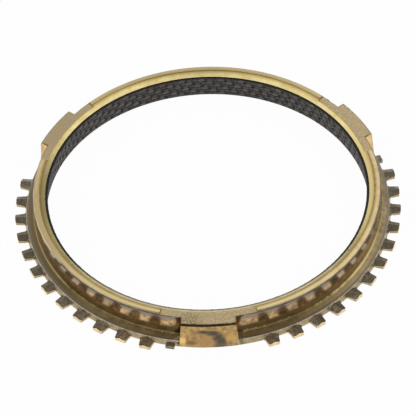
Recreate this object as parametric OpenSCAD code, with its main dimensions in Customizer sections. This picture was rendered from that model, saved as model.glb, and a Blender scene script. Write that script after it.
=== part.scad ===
// Synchronizer ring: a forged brass blocker ring, turned on its rim and cone, with a
// woven friction lining glued into the cone. Z is the axis of the ring. The toothed
// face lies on Z = 0, and the middle of one lug points along -Y. Millimetres.

/* [Cone and rim] */
// Diameter of the brass cone at the toothed face
cone_d = 102.6; // [90:0.1:130]
// Half-angle of the cone, measured from the axis
cone_angle = 8.3; // [5:0.1:11]
// Height of the ring, from the toothed face to the rim
ring_h = 9.9; // [8:0.1:14]
// Brass wall outside the cone, at the toothed face
wall_t = 2.5; // [2:0.1:5]
// Radial width of the turned chamfer inside the rim
rim_chamfer_w = 1.75; // [0.6:0.05:2]
// Height of the turned chamfer
rim_chamfer_h = 1.25; // [0.6:0.05:2]
// Radius on the crease between the chamfer and the rim
rim_crease_r = 0.9; // [0.2:0.1:1.5]
// Radius on the outer edge of the rim
rim_edge_r = 0.65; // [0.2:0.05:1]

/* [Flange] */
// How far the flange stands out from the wall, at the toothed face
flange_w = 3.2; // [2:0.1:6]
// Height of the flange at its outer edge
flange_h = 2; // [1.6:0.1:4]
// Rise of the flange towards the wall, in degrees
flange_rise = 8; // [1:1:20]
// Draft on the outside of the flange, in degrees
flange_draft = 14; // [1:1:20]
// Radius of the fillet between flange and wall
wall_fillet_r = 0.75; // [0.2:0.05:0.85]

/* [Blocking teeth] */
// Tooth positions in a full turn
tooth_positions = 48; // [36:12:60]
// Positions on each side of a lug that have no full tooth
lug_clear = 2; // [2:1:4]
// Length of a tooth beyond the flange
tooth_len = 3; // [1.5:0.1:5]
// Width of a tooth at the flange
tooth_root_w = 4.4; // [3:0.1:5]
// Width of a tooth at its tip
tooth_tip_w = 3.3; // [2:0.1:4.5]
// Radius on the corners of a tooth's tip, seen from above
tooth_tip_r = 0.5; // [0.1:0.1:0.8]
// Flare on each side of a tooth where it leaves the flange
tooth_flare = 0.4; // [0.1:0.1:0.6]
// Height of the ridge along the top of a tooth
tooth_ridge_h = 1.9; // [1.6:0.05:2.2]
// Slope of the two blocking chamfers, in degrees
tooth_roof = 25; // [5:1:28]
// Angle from the middle of a lug to the stub tooth beside it, in degrees
stub_angle = 11.6; // [11:0.1:13]
// Length of the stub tooth
stub_len = 1.3; // [0.5:0.1:2]
// Width of the stub tooth
stub_w = 2.7; // [1.5:0.1:4]
// Height of the stub tooth
stub_h = 1.2; // [0.6:0.1:1.8]

/* [Lugs] */
// Number of lugs
lug_count = 3; // [2:1:4]
// Width of a lug across its top
lug_w = 16.2; // [8:0.1:20]
// Draft on the flanks of a lug, in degrees
lug_flank_draft = 5; // [1:0.5:10]
// Draft on the outer face of a lug, in degrees
lug_face_draft = 4.4; // [1:0.2:8]
// Radius on the top edges of a lug
lug_edge_r = 0.5; // [0.2:0.1:1]
// Depth of the pad that a lug stands in, below the rim
pad_drop = 0.42; // [0.1:0.02:1]
// Length of the pad round the ring, in degrees
pad_arc = 31; // [22:1:45]

/* [Friction lining] */
// Thickness of the lining over its yarns
lining_t = 0.7; // [0.45:0.05:1.5]
// Glue between the lining and the brass cone
glue_line = 0.05; // [0.02:0.01:0.2]
// Distance from the lining to the turned chamfer
lining_inset = 0.3; // [0.1:0.1:2]
// Distance from the lining to the toothed face
lining_setback = 0.4; // [0.1:0.1:2]
// Rows of yarn across the lining
yarn_rows = 6; // [4:1:10]
// Gap between neighbouring rows of yarn
yarn_gap = 0.12; // [0.06:0.02:0.4]
// How far the yarns stand out of the weave
yarn_relief = 0.2; // [0.06:0.02:0.4]

/* [Hidden] */
$fn = 120;

// Overlap that carries a cut past the face it opens, or a joined form into its neighbour
through = 1;
// Angle of the lug that points along -Y
first_lug = -90;

// Radii, from the cone outwards
cone_r = cone_d / 2;
wall_r = cone_r + wall_t;
root_r = wall_r + flange_w;
tip_r = root_r + tooth_len;
stub_r = root_r + stub_len;

// Rim
chamfer_z = ring_h - rim_chamfer_h;
chamfer_r = cone_r - chamfer_z * tan(cone_angle);
rim_r = chamfer_r + rim_chamfer_w;
pad_z = ring_h - pad_drop;
chamfer_slope = atan(rim_chamfer_h / rim_chamfer_w);
crease_centre = [rim_r + rim_crease_r * tan(chamfer_slope / 2), ring_h - rim_crease_r];

// Flange and the fillet above it
flange_edge_r = root_r - flange_h * tan(flange_draft);
flange_top_z = flange_h + (flange_edge_r - wall_r) * tan(flange_rise);
fillet_z = flange_top_z + wall_fillet_r * (1 - sin(flange_rise)) / cos(flange_rise);
fillet_centre = [wall_r + wall_fillet_r, fillet_z];

// Teeth
pitch = 360 / tooth_positions;
positions_per_lug = floor(tooth_positions / lug_count);
lug_pitch = 360 / lug_count;
tooth_start_r = (wall_r + root_r) / 2;
tooth_taper = (tooth_root_w - tooth_tip_w) / 2 / tooth_len;
flank_angle = atan(tooth_taper);
flank_offset = (tooth_root_w / 2 + root_r * tooth_taper) * cos(flank_angle) - tooth_tip_r;
tip_corner_x = sqrt((tip_r - tooth_tip_r) ^ 2 - flank_offset ^ 2);
flank_normal = [sin(flank_angle), cos(flank_angle)];
tip_corner = flank_offset * flank_normal + tip_corner_x * [cos(flank_angle), -sin(flank_angle)];
flare_half = tooth_half(root_r + tooth_flare);

// Lining, with its rows measured along the slope of the cone
lining_top_z = chamfer_z - lining_inset;
lining_slope = (lining_top_z - lining_setback) / cos(cone_angle);
row_pitch = lining_slope / yarn_rows;
yarn_half = (row_pitch - yarn_gap) / 2;
yarn_r = (yarn_half ^ 2 + yarn_relief ^ 2) / 2 / yarn_relief;

// Half-width of a tooth at radius r
function tooth_half(r) = tooth_root_w / 2 - (r - root_r) * tooth_taper;

// Half-width of a lug at height z
function lug_half(z) = lug_w / 2 + (pad_z - z) * tan(lug_flank_draft);

// Copies of a form that lies along +X, one on each lug
module on_lugs() {
    for (i = [0 : lug_count - 1])
        rotate(first_lug + i * lug_pitch) children();
}

// Centre of the round edge on top of a face that starts at x_base and leans in by draft
function edge_centre(x_base, draft, h, edge) =
    [x_base - (h - edge) * tan(draft) - edge / cos(draft), h - edge];

// Section from x_in out to such a face, with its round edge
module drafted_section(x_in, x_base, draft, h, edge) {
    centre = edge_centre(x_base, draft, h, edge);
    polygon([
        [x_in, 0],
        [x_base, 0],
        centre + edge * [cos(draft), sin(draft)],
        centre,
        centre + [0, edge],
        [x_in, h]
    ]);
    translate(centre) circle(edge);
}

// What such a round edge takes off a block that is still sharp
module edge_waste(x_base, draft, h, edge) {
    centre = edge_centre(x_base, draft, h, edge);
    contact = centre + edge * [cos(draft), sin(draft)];
    difference() {
        polygon([
            centre,
            contact,
            [x_base + through, contact.y],
            [x_base + through, h + through],
            [centre.x, h + through]
        ]);
        translate(centre) circle(edge);
    }
}

// Wedge of brass that the fillet leaves between flange and wall
module wall_fillet() {
    difference() {
        polygon([
            [wall_r - through, flange_top_z],
            [wall_r, flange_top_z],
            fillet_centre - wall_fillet_r * [sin(flange_rise), cos(flange_rise)],
            fillet_centre,
            [wall_r, fillet_z],
            [wall_r - through, fillet_z]
        ]);
        translate(fillet_centre) circle(wall_fillet_r);
    }
}

// What the round crease takes off the corner between chamfer and rim
module rim_crease() {
    difference() {
        polygon([
            crease_centre,
            crease_centre + rim_crease_r * [-sin(chamfer_slope), cos(chamfer_slope)],
            [rim_r, ring_h + through],
            [crease_centre.x, ring_h + through]
        ]);
        translate(crease_centre) circle(rim_crease_r);
    }
}

// Section of the ring between the lugs
module ring_section() {
    difference() {
        union() {
            polygon([
                [cone_r, 0],
                [root_r, 0],
                [flange_edge_r, flange_h],
                [wall_r, flange_top_z],
                [wall_r, ring_h],
                [rim_r, ring_h],
                [chamfer_r, chamfer_z]
            ]);
            wall_fillet();
        }
        rim_crease();
        translate([wall_r - rim_edge_r, ring_h - rim_edge_r])
            difference() {
                square(rim_edge_r + through);
                circle(rim_edge_r);
            }
    }
}

// Cut that lowers the rim around a lug
module pad_cut() {
    rotate(-pad_arc / 2)
        rotate_extrude(angle = pad_arc)
            translate([chamfer_r, pad_z]) square([wall_r - chamfer_r + through, pad_drop + through]);
}

// Section across a lug, carried out along its radius
module along_lug() {
    rotate([90, 0, 90]) linear_extrude(tip_r) children();
}

// Lug that fills the height from the toothed face to the pad
module lug() {
    half_arc = asin(lug_half(0) / wall_r) + pitch;
    low = -through;
    high = pad_z + through;
    difference() {
        intersection() {
            rotate(-half_arc)
                rotate_extrude(angle = 2 * half_arc)
                    drafted_section(wall_r - through, root_r, lug_face_draft, pad_z, lug_edge_r);
            along_lug()
                polygon([
                    [-lug_half(low), low],
                    [lug_half(low), low],
                    [lug_half(high), high],
                    [-lug_half(high), high]
                ]);
        }
        for (side = [0, 1])
            mirror([0, side, 0])
                along_lug() edge_waste(lug_half(0), lug_flank_draft, pad_z, lug_edge_r);
    }
}

// What a round corner takes off the tip of a tooth, seen from above
module tip_corner_waste() {
    outward = tip_corner / norm(tip_corner);
    translate(tip_corner)
        difference() {
            polygon(through * [[0, 0], flank_normal, flank_normal + outward, outward]);
            circle(tooth_tip_r);
        }
}

// Plan of a tooth: flared at the flange, tapered, with round corners at the tip
module tooth_plan() {
    end_r = tip_r + through;
    start_half = flare_half + root_r + tooth_flare - tooth_start_r;
    difference() {
        intersection() {
            polygon([
                [tooth_start_r, -start_half],
                [root_r + tooth_flare, -flare_half],
                [end_r, -tooth_half(end_r)],
                [end_r, tooth_half(end_r)],
                [root_r + tooth_flare, flare_half],
                [tooth_start_r, start_half]
            ]);
            circle(tip_r);
        }
        for (side = [0, 1])
            mirror([0, side]) tip_corner_waste();
    }
}

// Tooth with a roof of two blocking chamfers
module tooth() {
    roof_half = tooth_ridge_h / tan(tooth_roof);
    intersection() {
        linear_extrude(tooth_ridge_h + through) tooth_plan();
        rotate([90, 0, 90])
            linear_extrude(tip_r + through)
                polygon([[-roof_half, 0], [roof_half, 0], [0, tooth_ridge_h]]);
    }
}

// Short square tooth that stands alone beside a lug
module stub() {
    intersection() {
        translate([tooth_start_r, -stub_w / 2, 0]) cube([tip_r - tooth_start_r, stub_w, stub_h]);
        cylinder(h = stub_h, r = stub_r);
    }
}

// Full teeth from one lug to the next, and the stub before that next lug
module tooth_group() {
    for (k = [lug_clear : positions_per_lug - lug_clear - 1])
        rotate((k + 0.5) * pitch) tooth();
    rotate(lug_pitch - stub_angle) stub();
}

// Forged and turned brass ring
module ring_body() {
    color("#b8994f") {
        difference() {
            rotate_extrude() ring_section();
            on_lugs() pad_cut();
        }
        on_lugs() lug();
        on_lugs() tooth_group();
    }
}

// Woven strip on the cone, with one rounded ridge for each row of yarn
module lining_section() {
    intersection() {
        translate([0, lining_setback]) square([cone_r, lining_top_z - lining_setback]);
        translate([cone_r, 0])
            rotate(cone_angle)
                translate([-glue_line - lining_t, 0])
                    intersection() {
                        square([lining_t, ring_h]);
                        union() {
                            translate([yarn_relief, 0]) square([lining_t, ring_h]);
                            for (i = [0 : yarn_rows - 1])
                                translate([yarn_r, lining_setback / cos(cone_angle) + (i + 0.5) * row_pitch])
                                    circle(yarn_r);
                        }
                    }
    }
}

// Woven friction lining
module friction_lining() {
    color("#3a3937") rotate_extrude() lining_section();
}

ring_body();
friction_lining();
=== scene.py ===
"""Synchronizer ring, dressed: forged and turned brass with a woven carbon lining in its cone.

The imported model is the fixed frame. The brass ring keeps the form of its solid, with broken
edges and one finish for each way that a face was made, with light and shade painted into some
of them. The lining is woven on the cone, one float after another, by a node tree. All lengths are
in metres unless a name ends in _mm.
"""
from __future__ import annotations

import logging
import math
from dataclasses import dataclass
from enum import Enum
from typing import Any, Sequence

import bmesh
import bpy
from mathutils import Matrix, Vector

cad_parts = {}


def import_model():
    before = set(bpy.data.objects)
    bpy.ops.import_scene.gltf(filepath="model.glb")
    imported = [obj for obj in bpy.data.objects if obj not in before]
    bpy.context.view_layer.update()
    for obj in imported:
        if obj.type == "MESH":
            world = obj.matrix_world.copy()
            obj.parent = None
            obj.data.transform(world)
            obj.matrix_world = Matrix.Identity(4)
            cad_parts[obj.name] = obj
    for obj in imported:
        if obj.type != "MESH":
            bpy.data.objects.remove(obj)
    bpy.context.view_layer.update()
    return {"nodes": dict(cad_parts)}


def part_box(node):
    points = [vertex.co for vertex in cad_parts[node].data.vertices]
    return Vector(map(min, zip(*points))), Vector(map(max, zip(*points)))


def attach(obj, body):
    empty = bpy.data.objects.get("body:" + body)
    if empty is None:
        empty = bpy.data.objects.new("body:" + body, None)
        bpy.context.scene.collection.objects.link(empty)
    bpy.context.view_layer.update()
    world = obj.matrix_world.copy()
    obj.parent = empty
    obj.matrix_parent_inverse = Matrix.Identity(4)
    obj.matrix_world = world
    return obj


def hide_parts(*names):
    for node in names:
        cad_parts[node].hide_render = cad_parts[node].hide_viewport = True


log = logging.getLogger("synchronizer_ring")

MM = 0.001
BODY = "root"
FULL_TURN = 2 * math.pi
# Turning marks spread a highlight across themselves, a quarter of a turn from their own direction.
QUARTER_TURN = 0.25
# Places nearer than this count as the same.
SLACK_MM = 0.05

# Parts of a unit normal, up the axis or away from it, that tell one face of the ring from the next.
FLANGE_LEVEL = 0.965
LEVEL = 0.95
NEAR_LEVEL = 0.9
SLOPED = 0.6
STEEP = 0.45
LEANING = 0.3
TILTED = 0.2
FACING = 0.15
SLIGHT = 0.1

# Most of a noise lies between these values.
NOISE_LOW, NOISE_HIGH = 0.3, 0.7
# Value of the noise at which oxide starts where it covers nothing, and how far full cover lowers it.
OXIDE_START, OXIDE_DROP = 0.62, 0.5
# How far the oxide fades out below that value and fills in above it.
OXIDE_FADE, OXIDE_FILL = 0.12, 0.2
# How far the noise frays a stain, and the frayed reach at which the stain starts and is complete.
STAIN_FRAY, STAIN_EDGE, STAIN_FULL = 1.6, 2.1, 1.3
# Values of the noise between which the specks of a stain come out.
SPECK_EDGE, SPECK_FULL = 0.5, 0.62
# How far the noise frays a band, in widths of the band's change.
BAND_FRAY = 0.25
# Brightness of the turned rings at the bottom and at the top of their marks.
RING_DARK, RING_BRIGHT = 0.88, 1.08
# How far the roughness strays from its mean, as a share of it.
ROUGH_SPREAD = 0.2

# Sockets that the marks on a finish follow: the place, the patches of oxide, the radius and the height.
Guides = dict[str, bpy.types.NodeSocket]


def linear_rgba(hex_colour: str) -> tuple[float, float, float, float]:
    """Turns an sRGB hex colour into linear RGBA.

    Args:
        hex_colour: six hex digits, such as "c8a24a".

    Returns:
        Linear red, green, blue and an alpha of 1.
    """
    parts = [int(hex_colour[i:i + 2], 16) / 255 for i in (0, 2, 4)]
    red, green, blue = (c / 12.92 if c <= 0.04045 else ((c + 0.055) / 1.055) ** 2.4 for c in parts)
    return red, green, blue, 1.0


def add_node(tree: bpy.types.NodeTree, kind: str, inputs: dict[Any, Any] | None = None,
             **settings: Any) -> bpy.types.Node:
    """Adds one node with its settings, values and links.

    Args:
        tree: the tree that gets the node.
        kind: Blender's name for the type of node.
        inputs: socket name or number, to a plain value or to another node's output socket.
        **settings: attributes of the node itself.

    Returns:
        The new node.
    """
    node = tree.nodes.new(kind)
    for name, value in settings.items():
        setattr(node, name, value)
    for key, value in (inputs or {}).items():
        if isinstance(value, bpy.types.NodeSocket):
            tree.links.new(value, node.inputs[key])
        else:
            node.inputs[key].default_value = value
    return node


def new_material(name: str) -> tuple[bpy.types.Material, bpy.types.NodeTree]:
    """Makes an empty node material.

    Args:
        name: the material's name.

    Returns:
        The material and its cleared node tree.
    """
    material = bpy.data.materials.new(name)
    material.use_nodes = True
    material.node_tree.nodes.clear()
    return material, material.node_tree


def link_object(name: str, mesh: bpy.types.Mesh) -> bpy.types.Object:
    """Puts a mesh into the scene as an object at the origin.

    Args:
        name: the object's name.
        mesh: its mesh, already in place.

    Returns:
        The new object.
    """
    piece = bpy.data.objects.new(name, mesh)
    bpy.context.scene.collection.objects.link(piece)
    return piece


def merged_copy(source: bpy.types.Object, merge_mm: float) -> bmesh.types.BMesh:
    """Copies a CAD mesh and joins the corners that its faces share.

    Args:
        source: the CAD node's object.
        merge_mm: distance at which loose corners are one corner.

    Returns:
        The copy, to be freed by the caller.
    """
    form = bmesh.new()
    form.from_mesh(source.data)
    bmesh.ops.remove_doubles(form, verts=form.verts, dist=merge_mm * MM)
    return form


def freeze(piece: bpy.types.Object) -> None:
    """Replaces an object's mesh with its evaluated mesh and removes its modifiers.

    Args:
        piece: the object whose modifiers are applied.
    """
    bpy.context.view_layer.update()
    evaluated = piece.evaluated_get(bpy.context.evaluated_depsgraph_get())
    mesh = bpy.data.meshes.new_from_object(evaluated)
    piece.modifiers.clear()
    piece.data = mesh


class Face(Enum):
    """How a face of the brass ring was made, or which light or shade is painted on it, in the order of the
    ring's material slots.
    """

    RIM = 0
    CREASE = 1
    CHAMFER = 2
    RIM_EDGE = 3
    PAD = 4
    WALL = 5
    FILLET = 6
    FLANGE = 7
    ROOT = 8
    ROOF = 9
    CUT = 10
    LUG_FACE = 11
    LUG_FLANK = 12
    SCALED_EDGE = 13
    CONE = 14
    BACK = 15
    WORN_EDGE = 16


# Faces that meet the flanks of the lugs in a wider rounding, and faces that run into each other softly.
BESIDE_FLANK = {Face.LUG_FACE, Face.SCALED_EDGE, Face.PAD}
TURNED = {Face.RIM, Face.CREASE, Face.CHAMFER}


class Along(Enum):
    """The measure that a band of tone follows."""

    HEIGHT = "height"
    RADIUS = "radius"


@dataclass(frozen=True)
class Band:
    """A change of tone up the ring's height or out along its radius.

    Attributes:
        along: what the band follows.
        start_mm: where the change starts.
        full_mm: where it is complete.
        colour: hex colour at full strength.
    """

    along: Along
    start_mm: float
    full_mm: float
    colour: str

    def share(self, tree: bpy.types.NodeTree, guides: Guides) -> bpy.types.NodeSocket:
        """Works out how much of the band shows.

        Args:
            tree: the material's tree.
            guides: sockets of the height, the radius and the patches of oxide.

        Returns:
            The socket of its share, from 0 to 1.
        """
        width = (self.full_mm - self.start_mm) * MM
        frayed = add_node(tree, "ShaderNodeMath", {
            0: guides["patches"], 1: BAND_FRAY * width, 2: guides[self.along.value]},
            operation="MULTIPLY_ADD")
        return add_node(tree, "ShaderNodeMapRange", {
            "Value": frayed.outputs["Value"], "From Min": self.start_mm * MM,
            "From Max": self.full_mm * MM}).outputs["Result"]


@dataclass(frozen=True)
class StainOrSheen:
    """One stain, or one patch of painted light or shade, on the ring, where an egg-shaped space meets its
    surface.

    Attributes:
        middle_mm: the middle of that space.
        half_mm: half its size along X, Y and Z.
        colour: hex colour of the stain.
        speckle_mm: size of the specks that it breaks up into, or 0 for a whole stain.
        late: whether it lies over the bands of tone, and not under them.
    """

    middle_mm: tuple[float, float, float]
    half_mm: tuple[float, float, float]
    colour: str
    speckle_mm: float = 0.0
    late: bool = False

    def share(self, tree: bpy.types.NodeTree, guides: Guides) -> bpy.types.NodeSocket:
        """Works out how much of the stain shows.

        Args:
            tree: the material's tree.
            guides: sockets of the place on the ring and the patches of oxide.

        Returns:
            The socket of its share, from 0 to 1.
        """
        middle, half = (tuple(c * MM for c in sizes) for sizes in (self.middle_mm, self.half_mm))
        offset = add_node(tree, "ShaderNodeVectorMath", {0: guides["place"], 1: middle}, operation="SUBTRACT")
        egg = add_node(tree, "ShaderNodeVectorMath", {0: offset.outputs["Vector"], 1: half},
                       operation="DIVIDE")
        reach = add_node(tree, "ShaderNodeVectorMath", {0: egg.outputs["Vector"]}, operation="LENGTH")
        frayed = add_node(tree, "ShaderNodeMath", {
            0: guides["patches"], 1: STAIN_FRAY, 2: reach.outputs["Value"]}, operation="MULTIPLY_ADD")
        share = add_node(tree, "ShaderNodeMapRange", {
            "Value": frayed.outputs["Value"], "From Min": STAIN_EDGE, "From Max": STAIN_FULL})
        if self.speckle_mm:
            specks = add_node(tree, "ShaderNodeTexNoise", {
                "Vector": guides["place"], "Scale": 1 / (self.speckle_mm * MM), "Detail": 1.0})
            share = add_node(tree, "ShaderNodeMapRange", {
                "Value": specks.outputs["Fac"], "From Min": SPECK_EDGE, "From Max": SPECK_FULL,
                "To Max": share.outputs["Result"]})
        return share.outputs["Result"]


@dataclass(frozen=True)
class BrassFinish:
    """One surface of the brass ring, from bright turned metal to dull forging skin.

    Attributes:
        name: the material's name.
        bright: hex colour of clean metal.
        dull: hex colour of the oxide that lies on it.
        dull_share: how much of the face the oxide covers, from 0 to 1.
        roughness: mean roughness.
        patch_mm: size of the patches of oxide.
        grain_mm: size of the finest grain.
        grain_depth_mm: depth of that grain.
        turned_mm: spacing of turning marks round the axis, or 0 where there are none.
        turned_depth_mm: depth of the turning marks.
        anisotropy: how far turning marks draw out a highlight.
        bands: changes of tone along the ring's height or radius, most of them painted shade and reflection.
        stains_and_sheens: single stains, and wide soft patches of painted light and shade.
    """

    name: str
    bright: str
    dull: str
    dull_share: float
    roughness: float
    patch_mm: float
    grain_mm: float
    grain_depth_mm: float
    turned_mm: float = 0.0
    turned_depth_mm: float = 0.0
    anisotropy: float = 0.0
    bands: tuple[Band, ...] = ()
    stains_and_sheens: tuple[StainOrSheen, ...] = ()

    def build(self) -> bpy.types.Material:
        """Makes the material.

        Returns:
            A metal with patches of oxide, grain and, where it was turned, fine rings.
        """
        material, tree = new_material(self.name)
        place = add_node(tree, "ShaderNodeTexCoord").outputs["Object"]
        flat = add_node(tree, "ShaderNodeVectorMath", {0: place, 1: (1.0, 1.0, 0.0)}, operation="MULTIPLY")
        radius = add_node(tree, "ShaderNodeVectorMath", {0: flat.outputs["Vector"]}, operation="LENGTH")
        parts = add_node(tree, "ShaderNodeSeparateXYZ", {"Vector": place})
        patches = add_node(tree, "ShaderNodeTexNoise", {
            "Vector": place, "Scale": 1 / (self.patch_mm * MM), "Detail": 5.0, "Roughness": 0.62})
        guides = {"place": place, "patches": patches.outputs["Fac"],
                  "radius": radius.outputs["Value"], "height": parts.outputs["Z"]}
        colour = self.coloured(tree, guides)
        grain = add_node(tree, "ShaderNodeTexNoise", {
            "Vector": place, "Scale": 1 / (self.grain_mm * MM), "Detail": 3.0})
        relief = add_node(tree, "ShaderNodeBump", {
            "Height": grain.outputs["Fac"], "Strength": 1.0, "Distance": self.grain_depth_mm * MM})
        if self.turned_mm:
            rings = add_node(tree, "ShaderNodeTexNoise", {
                "W": guides["radius"], "Scale": 1 / (self.turned_mm * MM), "Detail": 2.0},
                noise_dimensions="1D")
            relief = add_node(tree, "ShaderNodeBump", {
                "Height": rings.outputs["Fac"], "Strength": 1.0, "Distance": self.turned_depth_mm * MM,
                "Normal": relief.outputs["Normal"]})
            tone = add_node(tree, "ShaderNodeMapRange", {
                "Value": rings.outputs["Fac"], "From Min": NOISE_LOW, "From Max": NOISE_HIGH,
                "To Min": RING_DARK, "To Max": RING_BRIGHT})
            colour = add_node(tree, "ShaderNodeMix", {
                "Factor": 1.0, "A": colour, "B": tone.outputs["Result"]},
                data_type="RGBA", blend_type="MULTIPLY").outputs["Result"]
        rough = add_node(tree, "ShaderNodeMapRange", {
            "Value": guides["patches"], "From Min": NOISE_LOW, "From Max": NOISE_HIGH,
            "To Min": self.roughness * (1 - ROUGH_SPREAD), "To Max": self.roughness * (1 + ROUGH_SPREAD)})
        shader = add_node(tree, "ShaderNodeBsdfPrincipled", {
            "Base Color": colour, "Metallic": 1.0, "Roughness": rough.outputs["Result"],
            "Normal": relief.outputs["Normal"],
            "Anisotropic": self.anisotropy, "Anisotropic Rotation": QUARTER_TURN})
        if self.anisotropy:
            ring_lines = add_node(tree, "ShaderNodeTangent", direction_type="RADIAL", axis="Z")
            tree.links.new(ring_lines.outputs["Tangent"], shader.inputs["Tangent"])
        add_node(tree, "ShaderNodeOutputMaterial", {"Surface": shader.outputs["BSDF"]})
        return material

    def coloured(self, tree: bpy.types.NodeTree, guides: Guides) -> bpy.types.NodeSocket:
        """Lays oxide, stains, painted light and shade, and bands over the clean metal, from the lowest to the
        highest.

        Args:
            tree: the material's tree.
            guides: sockets of the place, the patches of oxide, the radius and the height.

        Returns:
            The socket of the colour.
        """
        start = OXIDE_START - OXIDE_DROP * self.dull_share
        oxide = add_node(tree, "ShaderNodeMapRange", {
            "Value": guides["patches"], "From Min": start - OXIDE_FADE, "From Max": start + OXIDE_FILL})
        early = [stain for stain in self.stains_and_sheens if not stain.late]
        late = [stain for stain in self.stains_and_sheens if stain.late]
        layers = [(oxide.outputs["Result"], self.dull)]
        layers += [(mark.share(tree, guides), mark.colour) for mark in (*early, *self.bands, *late)]
        colour: Any = linear_rgba(self.bright)
        for share, over in layers:
            colour = add_node(tree, "ShaderNodeMix", {
                "Factor": share, "A": colour, "B": linear_rgba(over)}, data_type="RGBA").outputs["Result"]
        return colour


LUG_STAINS = (
    StainOrSheen((-1.1, -57.0, 2.7), (2.9, 4.0, 1.7), "b08c60"),
    StainOrSheen((-5.4, -57.0, 2.0), (1.7, 4.0, 1.0), "8a6c50"),
    StainOrSheen((-1.6, -57.0, 6.5), (2.1, 4.0, 0.7), "625442"),
    StainOrSheen((1.1, -57.0, 5.9), (2.2, 4.0, 1.1), "5a5047"),
    StainOrSheen((2.7, -57.0, 4.2), (1.7, 4.0, 1.7), "5c5144"),
    StainOrSheen((3.5, -57.0, 2.3), (1.8, 4.0, 1.7), "5c5245"),
    StainOrSheen((3.3, -57.0, 0.6), (2.0, 4.0, 1.1), "6c6053"),
    StainOrSheen((-8.0, -57.0, 2.4), (1.1, 4.0, 1.9), "ecc97c"),
    StainOrSheen((6.6, -57.0, 3.8), (1.5, 4.0, 2.0), "c6a262"),
)

# Painted sheen on the wall: a pale patch on the right, and a pale mauve-grey top on the left.
WALL_PAINTED_SHEEN = (
    StainOrSheen((50.0, -20.0, 5.2), (8.0, 14.0, 5.0), "dcc294"),
    StainOrSheen((-51.0, -17.0, 9.6), (8.0, 20.0, 3.0), "bcac9a", late=True),
)

# Painted sheen: the rim's outer edge paler on the left.
RIM_EDGE_PAINTED_SHEEN = (StainOrSheen((-51.0, -17.0, 9.4), (8.0, 20.0, 4.0), "d4c2a4"),)

# Painted sheen: the fillet's gold line, wide on the right and thin on the left.
FILLET_PAINTED_SHEEN = (
    StainOrSheen((50.0, -24.0, 2.8), (16.0, 24.0, 6.0), "dcc690"),
    StainOrSheen((-51.0, -18.0, 2.8), (12.0, 26.0, 6.0), "a28d5f"),
)

# Painted light and shade on the flange: brighter at the front right, darker on the left.
FLANGE_PAINTED_LIGHT_AND_SHADE = (
    StainOrSheen((44.0, -34.0, 2.2), (20.0, 22.0, 4.0), "bca77d"),
    StainOrSheen((-55.5, -4.0, 2.2), (8.0, 24.0, 4.0), "8a7858"),
    StainOrSheen((-48.5, -27.0, 2.2), (14.0, 18.0, 4.0), "867656"),
)

# Dark specks on the front lug's top, and painted shade that darkens the left lug's top.
PAD_SPECKS_AND_SHADE = (
    StainOrSheen((-5.5, -54.5, 9.5), (3.6, 3.2, 1.5), "6e5f46", speckle_mm=0.45),
    StainOrSheen((-48.0, 28.0, 9.5), (14.0, 14.0, 4.0), "c6b28c"),
)

# Painted light and shade on the rim: brighter at the front, darker at the back, and a paler outer edge on the
# left.
RIM_PAINTED_LIGHT = (
    StainOrSheen((0.0, -53.0, 9.9), (52.0, 30.0, 6.0), "fce4ac"),
    StainOrSheen((0.0, 53.0, 9.9), (52.0, 30.0, 6.0), "d6c292"),
    StainOrSheen((-50.0, -17.0, 9.9), (7.0, 20.0, 4.0), "d9c290", late=True),
)

# Painted light: the chamfer brighter on the right.
CHAMFER_PAINTED_LIGHT = (StainOrSheen((51.0, 2.0, 9.2), (9.0, 20.0, 4.0), "e6d292"),)

# Painted shade on the rim: darker gold towards the crease and a dark outer border along the rounding.
RIM_PAINTED_SHADE = (Band(Along.RADIUS, 52.5, 52.0, "ccb278"), Band(Along.RADIUS, 53.3, 53.75, "6c5d48"))
# Painted shade: the chamfer darker towards the crease.
CHAMFER_PAINTED_SHADE = (Band(Along.RADIUS, 50.9, 51.6, "cdb474"),)
# Painted reflection on the wall: a grey band along its top and a darker band low down.
WALL_PAINTED_REFLECTION = (Band(Along.HEIGHT, 7.7, 8.4, "8c8072"), Band(Along.HEIGHT, 5.2, 3.8, "857a62"))
FLANGE_BANDS = (Band(Along.RADIUS, 55.4, 56.0, "8f8574"),)
# Painted shade: a dark brown band along the top of the lugs' faces.
LUG_PAINTED_SHADE = (Band(Along.HEIGHT, 8.6, 8.8, "3c2d20"),)

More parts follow.
